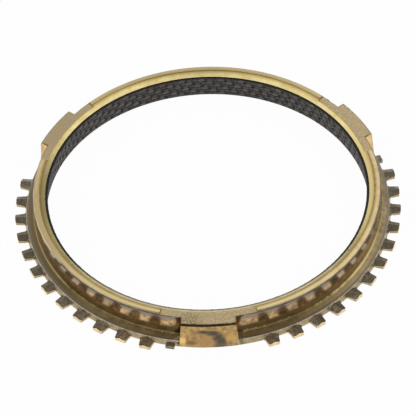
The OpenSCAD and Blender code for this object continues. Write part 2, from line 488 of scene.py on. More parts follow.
# Each finish: clean colour, oxide colour, oxide share, roughness, then sizes in millimetres. The grain and
# the turning marks are drawn coarser than life, so that they show.
FINISHES: dict[Face, BrassFinish] = {
    # Turned: fine rings that draw the light out sideways, pale gold with a dark outer border of painted
    # shade.
    Face.RIM: BrassFinish("turned_brass_rim", "f8e2b0", "e2c892", 0.3, 0.32, 4.0, 0.25, 0.004,
                          0.16, 0.006, 0.5, RIM_PAINTED_SHADE, RIM_PAINTED_LIGHT),
    # Turned: a duller line where the tool changed its angle, painted darker and warmer as shade.
    Face.CREASE: BrassFinish("turned_brass_crease", "c0a466", "a4884e", 0.3, 0.5, 4.0, 0.25, 0.003,
                             0.14, 0.004, 0.4),
    # Turned: the brightest yellow on the ring, with rings too fine to dull it.
    Face.CHAMFER: BrassFinish("turned_brass_chamfer", "fdecac", "ecd48e", 0.3, 0.25, 3.0, 0.25, 0.003,
                              0.14, 0.005, 0.0, CHAMFER_PAINTED_SHADE, CHAMFER_PAINTED_LIGHT),
    # Forged rounding along the top of the wall: a thin brown-grey line, painted dark as shade.
    Face.RIM_EDGE: BrassFinish("oxidised_brass_edge", "7d6c58", "54463a", 0.4, 0.35, 2.0, 0.25, 0.01,
                               stains_and_sheens=RIM_EDGE_PAINTED_SHEEN),
    # Forged: a matt, finely pitted sand colour, with a few dark specks.
    Face.PAD: BrassFinish("forged_brass_skin", "e4d0a8", "cbb58d", 0.5, 0.5, 0.8, 0.22, 0.03,
                          stains_and_sheens=PAD_SPECKS_AND_SHADE),
    # Forged smooth: a wavy brown mirror that shows the teeth and the floor as soft blocks, with painted
    # reflection as a grey band at the top and a darker band low down.
    Face.WALL: BrassFinish("forged_brass_wall", "e2bc88", "8e7350", 0.42, 0.17, 2.2, 1.2, 0.016,
                           bands=WALL_PAINTED_REFLECTION, stains_and_sheens=WALL_PAINTED_SHEEN),
    # Forged: a dark olive hollow with a gold line painted where it catches the light.
    Face.FILLET: BrassFinish("forged_brass_fillet", "8c7a4e", "6a5b3a", 0.4, 0.3, 3.0, 0.5, 0.006,
                             stains_and_sheens=FILLET_PAINTED_SHEEN),
    # Forged, with a film of oil: a half-dull olive gold, greyer towards the teeth.
    Face.FLANGE: BrassFinish("oiled_brass_flange", "c0ac82", "978562", 0.45, 0.4, 3.0, 0.4, 0.012,
                             bands=FLANGE_BANDS, stains_and_sheens=FLANGE_PAINTED_LIGHT_AND_SHADE),
    # Trimmed by a die: a grainy drab gold between the teeth and on their flanks.
    Face.ROOT: BrassFinish("trimmed_brass_root", "c4b28e", "9c8b69", 0.45, 0.35, 1.5, 0.3, 0.015),
    # Coined and oxidised: a grey-brown, almost pewter skin on the roofs of the teeth.
    Face.ROOF: BrassFinish("oxidised_brass_roof", "b0a38a", "7c7262", 0.5, 0.42, 1.0, 0.25, 0.008),
    # Freshly cut: clean cream-coloured metal at the tips of the teeth.
    Face.CUT: BrassFinish("cut_brass", "f6dfb2", "dcc08c", 0.3, 0.3, 1.5, 0.3, 0.008),
    # Sheared: rough yellow brass with brown and slate stains, and painted shade along its top.
    Face.LUG_FACE: BrassFinish("sheared_brass", "d2b072", "9c7e54", 0.45, 0.38, 1.5, 0.35, 0.03,
                               bands=LUG_PAINTED_SHADE, stains_and_sheens=LUG_STAINS),
    # Forged smooth: a soft golden gloss.
    Face.LUG_FLANK: BrassFinish("forged_brass_flank", "e8ca94", "ccac74", 0.3, 0.25, 3.0, 0.4, 0.008),
    # Painted shade: a dull brown-black line along the broken edges at the lugs' tops and on the teeth.
    Face.SCALED_EDGE: BrassFinish("scaled_brass_edge", "4c3a2a", "30231a", 0.4, 0.5, 2.0, 0.25, 0.01),
    # Bare under the glue: dark and dull, in the shade of the lining.
    Face.CONE: BrassFinish("unlined_brass_cone", "4c4438", "2e2922", 0.5, 0.5, 2.0, 0.3, 0.01),
    # Ground: plain gold with even rings.
    Face.BACK: BrassFinish("ground_brass_back", "d8bd84", "b89c68", 0.3, 0.3, 4.0, 0.25, 0.004,
                           0.2, 0.006, 0.4),
    # Painted highlight: a thin pale line along the broken edges, mostly on the flange.
    Face.WORN_EDGE: BrassFinish("worn_brass_edge", "cdc3b0", "ada28d", 0.3, 0.4, 1.5, 0.3, 0.01),
}


@dataclass
class RingBody:
    """The brass ring: the form of its solid, with broken edges and a finish on each face.

    Attributes:
        node: name of the CAD node.
        merge_mm: distance at which the solid's loose corners are one corner.
        flat_deg: angle under which two faces of the solid are one face.
        edge_break_mm: width of the broken edges.
        edge_segments: faces across a broken edge.
        lug_corner_mm: width of the rounding round the lugs' flanks.
        sharp_deg: least angle at which two faces meet in an edge.
        crease_deg: least angle at which the shading breaks.
        least_face_mm2: area under which a face is too small to have a broken edge.
        ring_height_mm: height of the rim.
        rim_round_mm: depth of the rim's rounding at its outer edge.
        pad_height_mm: height of the pads and the lugs.
        rim_edge_mm: depth below the pads at which the dark edge of the rim starts.
        edge_slack_mm: distance within which a broken edge belongs to the face beside it.
        lug_edge_mm: depth of the edge at the lugs' top that is painted dark as shade.
        wall_radius_mm: radius of the outer wall.
        root_radius_mm: radius of the flange at the toothed face.
        clear_mm: distance that is well inside a wall or a root.
        flange_height_mm: height of the flange at its edge.
        flange_drop_mm: depth below that edge at which the roofs of the teeth lie.
        flange_rise_mm: height that the flange's slope and fillet take at the wall.
        lug_angles_deg: angles of the lugs' middles.
        lug_half_mm: half-width of a lug at its foot.
        stub_reach_mm: distance from a lug's middle within which its stub tooth stands.
    """

    node: str = "ring_body"
    merge_mm: float = 0.001
    flat_deg: float = 0.4
    edge_break_mm: float = 0.16
    edge_segments: int = 3
    lug_corner_mm: float = 0.4
    sharp_deg: float = 24.0
    crease_deg: float = 32.0
    least_face_mm2: float = 0.002
    ring_height_mm: float = 9.9
    rim_round_mm: float = 0.45
    pad_height_mm: float = 9.48
    rim_edge_mm: float = 0.3
    edge_slack_mm: float = 0.1
    lug_edge_mm: float = 0.55
    wall_radius_mm: float = 53.8
    root_radius_mm: float = 57.0
    clear_mm: float = 1.0
    flange_height_mm: float = 2.0
    flange_drop_mm: float = 0.3
    flange_rise_mm: float = 1.2
    lug_angles_deg: Sequence[float] = (-90.0, 30.0, 150.0)
    lug_half_mm: float = 8.95
    stub_reach_mm: float = 15.0

    def finish_of(self, centre: Vector, normal: Vector) -> Face:
        """Says how a face was made, or which shade or highlight is painted on it, from where it lies and
        which way it points.

        Args:
            centre: the face's middle, in millimetres.
            normal: its unit normal.

        Returns:
            The way the face was made, or the shade or highlight painted on it.
        """
        radius = math.hypot(centre.x, centre.y)
        outward = self.outward(centre, normal)
        if normal.z < -NEAR_LEVEL:
            return Face.BACK
        if outward < -FACING and radius < self.wall_radius_mm - self.clear_mm:
            if normal.z < LEANING:
                return Face.CONE
            return Face.CHAMFER if outward < -STEEP else Face.CREASE
        if normal.z > LEVEL and abs(centre.z - self.pad_height_mm) < SLACK_MM:
            return Face.PAD
        on_top = centre.z > self.ring_height_mm - self.rim_round_mm
        if on_top and normal.z > STEEP and radius < self.wall_radius_mm:
            return Face.RIM
        on_lug = self.on_lug(centre)
        if on_lug and centre.z > self.pad_height_mm - self.lug_edge_mm:
            if normal.z > LEVEL:
                return Face.PAD
            if normal.z > SLIGHT and outward > LEANING:
                return Face.SCALED_EDGE
        if on_lug and outward > SLOPED:
            return Face.LUG_FACE
        if on_lug and centre.z > self.flange_height_mm - self.flange_drop_mm and abs(normal.z) < SLOPED:
            return Face.LUG_FLANK
        if radius > self.root_radius_mm + SLACK_MM:
            if normal.z > SLOPED or self.on_stub(centre):
                return Face.ROOF
            return Face.CUT if outward > SLOPED else Face.ROOT
        if centre.z < self.flange_height_mm - SLACK_MM and normal.z < SLOPED:
            return Face.ROOT if outward > SLOPED else Face.CUT
        if centre.z < self.flange_height_mm + self.flange_rise_mm and normal.z > SLIGHT:
            if normal.z < FLANGE_LEVEL:
                return Face.FILLET if radius < self.root_radius_mm - self.clear_mm else Face.ROOF
            return Face.ROOF if centre.z < self.flange_height_mm - self.flange_drop_mm else Face.FLANGE
        if centre.z > self.pad_height_mm - self.rim_edge_mm:
            return Face.RIM_EDGE if outward > LEANING else Face.CREASE
        return Face.WALL

    def edge_finish(self, centre: Vector, normal: Vector) -> Face:
        """Says how a broken edge looks: a painted pale highlight on the flange, painted dark shade on the
        teeth and lugs.

        Args:
            centre: the middle of the edge's face, in millimetres.
            normal: its unit normal.

        Returns:
            The finish that the edge takes.
        """
        radius = math.hypot(centre.x, centre.y)
        outward = self.outward(centre, normal)
        top = self.pad_height_mm - self.edge_slack_mm
        if radius > self.root_radius_mm + self.edge_slack_mm:
            if normal.z > NEAR_LEVEL or self.on_stub(centre):
                return Face.ROOF
            return Face.SCALED_EDGE if normal.z > TILTED else Face.CUT
        if radius < self.wall_radius_mm - self.clear_mm and outward < -SLIGHT:
            return Face.CHAMFER if normal.z > 0 else Face.CONE
        if self.on_lug(centre) and self.flange_height_mm < centre.z < top:
            if centre.z > self.pad_height_mm - self.lug_edge_mm and normal.z > TILTED:
                return Face.SCALED_EDGE
            return Face.LUG_FACE if outward > SLOPED else Face.LUG_FLANK
        if centre.z > top:
            return Face.RIM_EDGE if outward > LEANING else Face.CREASE
        return Face.WORN_EDGE if normal.z > -SLIGHT else Face.BACK

    @staticmethod
    def outward(centre: Vector, normal: Vector) -> float:
        """Gives the part of a unit normal that points away from the ring's axis."""
        return (normal.x * centre.x + normal.y * centre.y) / math.hypot(centre.x, centre.y)

    def on_lug(self, point: Vector) -> bool:
        """Says whether a point, in millimetres, lies on a lug, outside the wall."""
        outside = math.hypot(point.x, point.y) > self.wall_radius_mm + SLACK_MM
        return outside and self.from_lug(point) < self.lug_half_mm + SLACK_MM

    def on_stub(self, point: Vector) -> bool:
        """Says whether a point outside the roots, in millimetres, lies on a stub tooth."""
        return self.lug_half_mm < self.from_lug(point) < self.stub_reach_mm

    def from_lug(self, point: Vector) -> float:
        """Measures how far a point lies from the middle plane of the nearest lug.

        Args:
            point: the point, in millimetres.

        Returns:
            The distance in millimetres, on the lug's own side of the axis.
        """
        distances = []
        for angle in map(math.radians, self.lug_angles_deg):
            if point.x * math.cos(angle) + point.y * math.sin(angle) > 0:
                distances.append(abs(point.y * math.cos(angle) - point.x * math.sin(angle)))
        return min(distances)

    def edge_weight(self, edge: bmesh.types.BMEdge) -> float:
        """Says how wide an edge is broken.

        Args:
            edge: an edge of the ring, between faces that have their finish.

        Returns:
            The width as a share of the lugs' rounding, or 0 for an edge that stays as it is.
        """
        faces = edge.link_faces
        kinds = {Face(face.material_index) for face in faces}
        wide = all(face.calc_area() > self.least_face_mm2 * MM ** 2 for face in faces)
        long = edge.calc_length() > 0.5 * self.edge_break_mm * MM
        sharp = math.degrees(edge.calc_face_angle_signed(0.0)) > self.sharp_deg
        soft = kinds <= TURNED and min((face.normal.z for face in faces), default=0.0) > TILTED
        if not (wide and long and sharp) or soft:
            return 0.0
        round_flank = Face.LUG_FLANK in kinds and kinds & BESIDE_FLANK
        return 1.0 if round_flank else self.edge_break_mm / self.lug_corner_mm

    def marked_mesh(self, source: bpy.types.Object) -> bpy.types.Mesh:
        """Copies the solid, with a finish on each face and a weight on each edge to be broken.

        Args:
            source: the CAD node's object.

        Returns:
            The mesh with its materials.
        """
        mesh = bpy.data.meshes.new("brass_ring")
        form = merged_copy(source, self.merge_mm)
        bmesh.ops.dissolve_limit(form, angle_limit=math.radians(self.flat_deg), verts=form.verts,
                                 edges=form.edges)
        bmesh.ops.dissolve_degenerate(form, dist=self.merge_mm * MM, edges=form.edges)
        bmesh.ops.delete(form, geom=[edge for edge in form.edges if not edge.link_faces], context="EDGES")
        form.normal_update()
        for face in form.faces:
            face.material_index = self.finish_of(face.calc_center_median() / MM, face.normal).value
            face.smooth = True
        weight = form.edges.layers.float.new("bevel_weight_edge")
        for edge in form.edges:
            edge[weight] = self.edge_weight(edge)
        form.to_mesh(mesh)
        form.free()
        for kind in Face:
            mesh.materials.append(FINISHES[kind].build())
        return mesh

    def build(self, source: bpy.types.Object) -> bpy.types.Object:
        """Makes the finished ring.

        Args:
            source: the CAD node's object.

        Returns:
            The object that stands for the node.
        """
        ring = link_object("brass_ring", self.marked_mesh(source))
        broken = ring.modifiers.new("broken_edges", "BEVEL")
        broken.limit_method = "WEIGHT"
        broken.width = self.lug_corner_mm * MM
        broken.segments = self.edge_segments
        broken.use_clamp_overlap = False
        broken.material = Face.WORN_EDGE.value
        freeze(ring)
        for face in ring.data.polygons:
            if face.material_index == Face.WORN_EDGE.value:
                face.material_index = self.edge_finish(face.center / MM, face.normal).value
        ring.data.set_sharp_from_angle(angle=math.radians(self.crease_deg))
        level = ring.modifiers.new("level_faces", "WEIGHTED_NORMAL")
        level.mode = "FACE_AREA"
        level.keep_sharp = True
        freeze(ring)
        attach(ring, BODY)
        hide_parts(self.node)
        return ring


@dataclass(frozen=True)
class YarnFinish:
    """Carbon yarn spun and set in resin: a dull dark thread with fine filaments along it.

    Attributes:
        name: the material's name.
        dark: hex colour of the darkest yarns.
        pale: hex colour of the palest yarns.
        roughness: its roughness.
        filament_mm: width of a bundle of filaments, drawn coarser than life so that it shows.
        filament_stretch: how the filaments' grain is scaled along, across and out of the yarn.
        filament_depth_mm: depth of the grooves between them.
        sheen: strength of the soft glow of loose fibres.
        sheen_roughness: how wide that glow spreads.
    """

    name: str = "carbon_yarn"
    dark: str = "2c2725"
    pale: str = "5e5852"
    roughness: float = 0.6
    filament_mm: float = 0.18
    filament_stretch: tuple[float, float, float] = (0.12, 1.0, 1.0)
    filament_depth_mm: float = 0.03
    sheen: float = 0.1
    sheen_roughness: float = 0.5

    def build(self) -> bpy.types.Material:
        """Makes the material.

        Returns:
            A thread that takes its shade from "tint" and its filaments from "yarn".
        """
        material, tree = new_material(self.name)
        tint = add_node(tree, "ShaderNodeAttribute", attribute_name="tint")
        yarn = add_node(tree, "ShaderNodeAttribute", attribute_name="yarn")
        colour = add_node(tree, "ShaderNodeMix", {
            "Factor": tint.outputs["Fac"], "A": linear_rgba(self.dark), "B": linear_rgba(self.pale)},
            data_type="RGBA")
        drawn = add_node(tree, "ShaderNodeVectorMath", {
            0: yarn.outputs["Vector"], 1: self.filament_stretch}, operation="MULTIPLY")
        filaments = add_node(tree, "ShaderNodeTexNoise", {
            "Vector": drawn.outputs["Vector"], "Scale": 1 / (self.filament_mm * MM), "Detail": 2.0})
        relief = add_node(tree, "ShaderNodeBump", {
            "Height": filaments.outputs["Fac"], "Strength": 1.0, "Distance": self.filament_depth_mm * MM})
        shader = add_node(tree, "ShaderNodeBsdfPrincipled", {
            "Base Color": colour.outputs["Result"], "Roughness": self.roughness,
            "Normal": relief.outputs["Normal"],
            "Sheen Weight": self.sheen, "Sheen Roughness": self.sheen_roughness})
        add_node(tree, "ShaderNodeOutputMaterial", {"Surface": shader.outputs["BSDF"]})
        return material


@dataclass(frozen=True)
class GroundFinish:
    """The woven cloth under the floats, soaked with resin: charcoal, with a fine uneven grain.

    Attributes:
        name: the material's name.
        dark: hex colour in the hollows.
        pale: hex colour of the dry patches.
        roughness: its roughness.
        grain_mm: size of its grain.
        grain_depth_mm: depth of that grain.
    """

    name: str = "charcoal_cloth"
    dark: str = "1e1b19"
    pale: str = "322e2b"
    roughness: float = 0.75
    grain_mm: float = 0.4
    grain_depth_mm: float = 0.05

    def build(self) -> bpy.types.Material:
        """Makes the material.

        Returns:
            A rough dark cloth.
        """
        material, tree = new_material(self.name)
        place = add_node(tree, "ShaderNodeTexCoord").outputs["Object"]
        grain = add_node(tree, "ShaderNodeTexNoise", {
            "Vector": place, "Scale": 1 / (self.grain_mm * MM), "Detail": 4.0})
        colour = add_node(tree, "ShaderNodeMix", {
            "Factor": grain.outputs["Fac"], "A": linear_rgba(self.dark), "B": linear_rgba(self.pale)},
            data_type="RGBA")
        relief = add_node(tree, "ShaderNodeBump", {
            "Height": grain.outputs["Fac"], "Strength": 1.0, "Distance": self.grain_depth_mm * MM})
        shader = add_node(tree, "ShaderNodeBsdfPrincipled", {
            "Base Color": colour.outputs["Result"], "Roughness": self.roughness,
            "Normal": relief.outputs["Normal"]})
        add_node(tree, "ShaderNodeOutputMaterial", {"Surface": shader.outputs["BSDF"]})
        return material


@dataclass(frozen=True)
class GlueLineFinish:
    """The cut top edge of the cloth, soaked with glue: painted black as shade where the chamfer keeps it in
    shadow, olive towards the front.

    Attributes:
        name: the material's name.
        shaded_black: painted shade, the hex colour where the chamfer keeps it in shadow.
        front_tone: hex colour towards the front.
        roughness: its roughness.
        shaded_from_mm: position along Y from which it is black.
        front_tone_to_mm: position along Y up to which it has the front colour.
    """

    name: str = "glued_cloth_edge"
    shaded_black: str = "1c1914"
    front_tone: str = "a8987a"
    roughness: float = 0.7
    shaded_from_mm: float = -28.0
    front_tone_to_mm: float = -42.0

    def build(self) -> bpy.types.Material:
        """Makes the material.

        Returns:
            A dull edge that goes from black to olive towards the front.
        """
        material, tree = new_material(self.name)
        place = add_node(tree, "ShaderNodeTexCoord").outputs["Object"]
        parts = add_node(tree, "ShaderNodeSeparateXYZ", {"Vector": place})
        share = add_node(tree, "ShaderNodeMapRange", {
            "Value": parts.outputs["Y"], "From Min": self.shaded_from_mm * MM, "From Max": self.front_tone_to_mm * MM})
        colour = add_node(tree, "ShaderNodeMix", {
            "Factor": share.outputs["Result"], "A": linear_rgba(self.shaded_black), "B": linear_rgba(self.front_tone)},
            data_type="RGBA")
        shader = add_node(tree, "ShaderNodeBsdfPrincipled", {
            "Base Color": colour.outputs["Result"], "Roughness": self.roughness})
        add_node(tree, "ShaderNodeOutputMaterial", {"Surface": shader.outputs["BSDF"]})
        return material


@dataclass(frozen=True)
class Draw:
    """A small irregularity of the threads, drawn anew for each one.

    Attributes:
        name: what it changes.
        least: its lower limit.
        most: its upper limit.
        low_change: what a low thread adds to it.
    """

    name: str
    least: float
    most: float
    low_change: float = 0.0


# Place in the row in repeats, lean in radians, shade, then length, width and height as shares.
DRAWS = (
    Draw("shift", -0.02, 0.02), Draw("stray", -0.07, 0.07), Draw("tint", 0.62, 1.0, -0.6),
    Draw("size_x", 0.92, 1.06, -0.2), Draw("size_y", 0.93, 1.05, -0.06), Draw("size_z", 0.9, 1.1, -0.15),
)

# A float's axes: its size there, the share of it on one side, and the power that squares off a ball.
BOLSTER = (("x", "Length", 0.5, 0.62), ("y", "Width", 0.5, 0.7), ("z", "Height", 1.0, 0.8))

# The cords that bind the cloth's edges, and how far up the cone's slope each one lies.
CORDS = {"Foot cord": 0.0, "Top cord": 1.0}

# The sums of the weave, in order: a name, what is done, and its terms. A term is a number, an input of the
# tree or a name above. A thread's number gives its row, its repeat and its place in that repeat, and those
# give its spot on the cone and the way it points.
WEAVE_SUMS: tuple[tuple[Any, ...], ...] = (
    ("in_row", "MULTIPLY", "Repeats", "Threads"),
    ("count", "MULTIPLY", "Rows", "in_row"),
    ("number_mid", "ADD", "number", 0.5),
    ("rows_filled", "DIVIDE", "number_mid", "in_row"),
    ("row", "FLOOR", "rows_filled"),
    ("row_first", "MULTIPLY", "row", "in_row"),
    ("column", "SUBTRACT", "number", "row_first"),
    ("column_mid", "ADD", "column", 0.5),
    ("repeats_filled", "DIVIDE", "column_mid", "Threads"),
    ("repeat", "FLOOR", "repeats_filled"),
    ("repeat_first", "MULTIPLY", "repeat", "Threads"),
    ("thread", "SUBTRACT", "column", "repeat_first"),
    ("low", "GREATER_THAN", "thread", 0.5),
    *((draw.name, "MULTIPLY_ADD", "low", draw.low_change, f"{draw.name} drawn") for draw in DRAWS),
    ("repeat_start", "ADD", "repeat", "Row start"),
    ("in_repeat", "MULTIPLY_ADD", "thread", "Thread step", "repeat_start"),
    ("in_cloth", "MULTIPLY_ADD", "row", "Row shift", "in_repeat"),
    ("shifted", "ADD", "in_cloth", "shift"),
    ("turned", "MULTIPLY", "shifted", FULL_TURN),
    ("bearing", "DIVIDE", "turned", "Repeats"),
    ("cos_bearing", "COSINE", "bearing"),
    ("sin_bearing", "SINE", "bearing"),
    ("cos_cone", "COSINE", "Cone angle"),
    ("sin_cone", "SINE", "Cone angle"),
    ("row_mid", "ADD", "row", 0.5),
    ("along", "MULTIPLY", "row_mid", "Row pitch"),
    ("drawn_in", "MULTIPLY", "along", "sin_cone"),
    ("radius", "SUBTRACT", "Foot radius", "drawn_in"),
    ("spot_x", "MULTIPLY", "radius", "cos_bearing"),
    ("spot_y", "MULTIPLY", "radius", "sin_bearing"),
    ("spot_z", "MULTIPLY_ADD", "along", "cos_cone", "Foot height"),
    ("level_in", "MULTIPLY", "cos_cone", -1.0),
    ("inward_x", "MULTIPLY", "cos_bearing", "level_in"),
    ("inward_y", "MULTIPLY", "sin_bearing", "level_in"),
    ("inward_z", "MULTIPLY", "sin_cone", -1.0),
    ("lean", "ADD", "Tilt", "stray"),
    ("cos_lean", "COSINE", "lean"),
    ("sin_lean", "SINE", "lean"),
    ("back_lean", "MULTIPLY", "cos_lean", -1.0),
    ("onward_x", "MULTIPLY", "sin_bearing", "back_lean"),
    ("onward_y", "MULTIPLY", "cos_bearing", "cos_lean"),
    ("onward_z", "MULTIPLY", "sin_lean", -1.0),
    *(row for axis, size, share, power in BOLSTER for row in (
        (f"away_{axis}", "ABSOLUTE", f"ball_{axis}"),
        (f"squared_{axis}", "POWER", f"away_{axis}", power),
        (f"sign_{axis}", "SIGN", f"ball_{axis}"),
        (f"side_{axis}", "MULTIPLY", f"squared_{axis}", f"sign_{axis}"),
        (f"half_{axis}", "MULTIPLY", size, share),
        (f"bolster_{axis}", "MULTIPLY", f"side_{axis}", f"half_{axis}"))),
    *(row for cord, share in CORDS.items() for row in (
        (f"{cord} half", "MULTIPLY", cord, 0.5),
        (f"{cord} inset", "MULTIPLY", f"{cord} half", 1.0 - 2.0 * share),
        (f"{cord} reach", "MULTIPLY_ADD", "Slope", share, f"{cord} inset"),
        (f"{cord} seat", "SUBTRACT", "Edge radius", f"{cord} half"),
        (f"{cord} drawn in", "MULTIPLY", f"{cord} reach", "sin_cone"),
        (f"{cord} radius", "SUBTRACT", f"{cord} seat", f"{cord} drawn in"),
        (f"{cord} height", "MULTIPLY_ADD", f"{cord} reach", "cos_cone", "Foot height"))),
)


@dataclass
class WovenLining:
    """The friction lining: its solid as ground cloth, with floats of yarn woven over it.

    Attributes:
        node: name of the CAD node.
        merge_mm: distance at which the solid's loose corners are one corner.
        rows: rows of yarn up the cone.
        repeats: repeats of the weave in one row, each with one high float.
        threads: threads in one repeat, the high float and the low ones beside it.
        thread_step: distance from one thread of a repeat to the next, in repeats.
        row_shift: how far each row is shifted against the one below, in repeats.
        row_start: where the first float of the lowest row lies, in repeats from +X.
        cone_deg: half-angle of the cone.
        thickness_mm: thickness of the lining.
        float_length_mm: length of a high float.
        float_width_mm: its width, up the cone.
        float_height_mm: how far a float stands out of the cloth.
        float_tilt_deg: how far a float leans from its row.
        float_faces: faces round a float and along it.
        hollow_mm: depth of the hollows between the rows, where the cloth's edges lie.
        foot_cord_mm: thickness of the cord that binds the cloth's lower edge.
        top_cord_mm: thickness of the cord that binds its upper edge.
        cord_faces: faces along a cord and round it.
        crease_deg: least angle at which the shading breaks.
        seed: seed of the small irregularities.
    """

    node: str = "friction_lining"
    merge_mm: float = 0.001
    rows: int = 6
    repeats: int = 48
    threads: int = 3
    thread_step: float = 0.29
    row_shift: float = 0.4
    row_start: float = 0.23
    cone_deg: float = 8.3
    thickness_mm: float = 0.7
    float_length_mm: float = 2.2
    float_width_mm: float = 1.36
    float_height_mm: float = 0.12
    float_tilt_deg: float = 7.0
    float_faces: tuple[int, int] = (10, 6)
    hollow_mm: float = 0.2
    foot_cord_mm: float = 0.36
    top_cord_mm: float = 0.24
    cord_faces: tuple[int, int] = (180, 8)
    crease_deg: float = 50.0
    seed: int = 11

    def build(self, source: bpy.types.Object) -> bpy.types.Object:
        """Weaves the lining.

        Args:
            source: the CAD node's object.

        Returns:
            The object that stands for the node.
        """
        mesh = bpy.data.meshes.new("woven_lining")
        form = merged_copy(source, self.merge_mm)
        for face in form.faces:
            face.smooth = True
            face.material_index = 1 if face.normal.z > NEAR_LEVEL else 0
        form.to_mesh(mesh)
        form.free()
        for finish in (GroundFinish(), GlueLineFinish()):
            mesh.materials.append(finish.build())
        lining = link_object("woven_lining", mesh)
        low, high = (Vector(corner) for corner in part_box(self.node))
        cone = math.radians(self.cone_deg)
        slope = (high.z - low.z) / math.cos(cone)
        values = {
            "Rows": self.rows, "Repeats": self.repeats, "Threads": self.threads,
            "Thread step": self.thread_step, "Row shift": self.row_shift, "Row start": self.row_start,
            "Foot radius": high.x - self.thickness_mm * MM / math.cos(cone), "Foot height": low.z,
            "Row pitch": slope / self.rows, "Cone angle": cone, "Slope": slope,
            "Foot cord": self.foot_cord_mm * MM, "Top cord": self.top_cord_mm * MM,
            "Edge radius": high.x - (self.thickness_mm - self.hollow_mm) * MM,
            "Length": self.float_length_mm * MM, "Width": self.float_width_mm * MM,
            "Height": self.float_height_mm * MM, "Tilt": math.radians(self.float_tilt_deg),
            "Seed": self.seed, "Yarn": YarnFinish().build()}
        weave = lining.modifiers.new("weave", "NODES")
        weave.node_group = self.weave_tree(values)
        for socket in weave.node_group.interface.items_tree:
            if socket.in_out == "INPUT" and socket.name in values:
                weave[socket.identifier] = values[socket.name]
        freeze(lining)
        lining.data.set_sharp_from_angle(angle=math.radians(self.crease_deg))
        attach(lining, BODY)
        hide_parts(self.node)
        return lining

    def weave_tree(self, values: dict[str, Any]) -> bpy.types.NodeTree:
        """Makes the node tree that lays the floats and the cords on the cone.

        Args:
            values: the tree's named inputs; a whole number makes a whole-number input.

        Returns:
            The tree: ground cloth in, ground cloth and yarn out.
        """
        tree = bpy.data.node_groups.new("satin_weave", "GeometryNodeTree")
        tree.interface.new_socket("Geometry", in_out="INPUT", socket_type="NodeSocketGeometry")
        tree.interface.new_socket("Geometry", in_out="OUTPUT", socket_type="NodeSocketGeometry")
        kinds = {int: "NodeSocketInt", float: "NodeSocketFloat", bpy.types.Material: "NodeSocketMaterial"}
        for name, value in values.items():
            tree.interface.new_socket(name, in_out="INPUT", socket_type=kinds[type(value)])
        given = add_node(tree, "NodeGroupInput").outputs
        place = add_node(tree, "GeometryNodeInputPosition").outputs["Position"]
        known = {name: given[name] for name in values}
        known["number"] = add_node(tree, "GeometryNodeInputIndex").outputs["Index"]
        ball_place = add_node(tree, "ShaderNodeSeparateXYZ", {"Vector": place})
        known.update({f"ball_{axis}": ball_place.outputs[axis.upper()] for axis in "xyz"})
        for step, draw in enumerate(DRAWS, start=1):
            seed = add_node(tree, "ShaderNodeMath", {0: given["Seed"], 1: step}, operation="ADD")
            drawn = add_node(tree, "FunctionNodeRandomValue", {
                2: draw.least, 3: draw.most, "Seed": seed.outputs["Value"]})
            known[f"{draw.name} drawn"] = drawn.outputs[1]
        for name, operation, *terms in WEAVE_SUMS:
            inputs = {slot: known.get(term, term) for slot, term in enumerate(terms)}
            known[name] = add_node(tree, "ShaderNodeMath", inputs, operation=operation).outputs["Value"]
        spot, inward, onward, bolster, size = (add_node(tree, "ShaderNodeCombineXYZ", {
            axis.upper(): known[f"{name}_{axis}"] for axis in "xyz"}).outputs["Vector"]
            for name in ("spot", "inward", "onward", "bolster", "size"))
        turn = add_node(tree, "FunctionNodeAxesToRotation", {0: inward, 1: onward},
                        primary_axis="Z", secondary_axis="X")
        ball = add_node(tree, "GeometryNodeMeshUVSphere", {
            "Segments": self.float_faces[0], "Rings": self.float_faces[1], "Radius": 1.0})
        squared = add_node(tree, "GeometryNodeSetPosition", {
            "Geometry": ball.outputs["Mesh"], "Position": bolster})
        yarn = add_node(tree, "GeometryNodeStoreNamedAttribute", {
            "Geometry": squared.outputs["Geometry"], "Name": "yarn", "Value": place},
            data_type="FLOAT_VECTOR", domain="POINT")
        spots = add_node(tree, "GeometryNodePoints", {"Count": known["count"], "Position": spot})
        tinted = add_node(tree, "GeometryNodeStoreNamedAttribute", {
            "Geometry": spots.outputs["Points"], "Name": "tint", "Value": known["tint"]},
            data_type="FLOAT", domain="POINT")
        woven = add_node(tree, "GeometryNodeInstanceOnPoints", {
            "Points": tinted.outputs["Geometry"], "Instance": yarn.outputs["Geometry"],
            "Rotation": turn.outputs["Rotation"], "Scale": size})
        threads = add_node(tree, "GeometryNodeJoinGeometry", {"Geometry": woven.outputs["Instances"]})
        for name in CORDS:
            hoop = add_node(tree, "GeometryNodeCurvePrimitiveCircle", {
                "Resolution": self.cord_faces[0], "Radius": known[f"{name} radius"]})
            lift = add_node(tree, "ShaderNodeCombineXYZ", {"Z": known[f"{name} height"]})
            raised = add_node(tree, "GeometryNodeTransform", {
                "Geometry": hoop.outputs["Curve"], "Translation": lift.outputs["Vector"]})
            section = add_node(tree, "GeometryNodeCurvePrimitiveCircle", {
                "Resolution": self.cord_faces[1], "Radius": known[f"{name} half"]})
            cord = add_node(tree, "GeometryNodeCurveToMesh", {
                "Curve": raised.outputs["Geometry"], "Profile Curve": section.outputs["Curve"]})
            tree.links.new(cord.outputs["Mesh"], threads.inputs["Geometry"])
        solid = add_node(tree, "GeometryNodeRealizeInstances", {"Geometry": threads.outputs["Geometry"]})
        smooth = add_node(tree, "GeometryNodeSetShadeSmooth", {"Geometry": solid.outputs["Geometry"]})
        dressed = add_node(tree, "GeometryNodeSetMaterial", {
            "Geometry": smooth.outputs["Geometry"], "Material": given["Yarn"]})
        joined = add_node(tree, "GeometryNodeJoinGeometry", {"Geometry": dressed.outputs["Geometry"]})
        tree.links.new(given["Geometry"], joined.inputs["Geometry"])
        add_node(tree, "NodeGroupOutput", {"Geometry": joined.outputs["Geometry"]})
        return tree


@dataclass(frozen=True)
class Shade:
    """A dark part of the studio, round one direction.

    Attributes:
        direction: unit vector towards its middle.
        edge: cosine of the angle at which it starts.
        full: cosine of the angle inside which it is complete.
        light_left: share of the light that is left there.
    """

    direction: tuple[float, float, float]
    edge: float
    full: float
    light_left: float


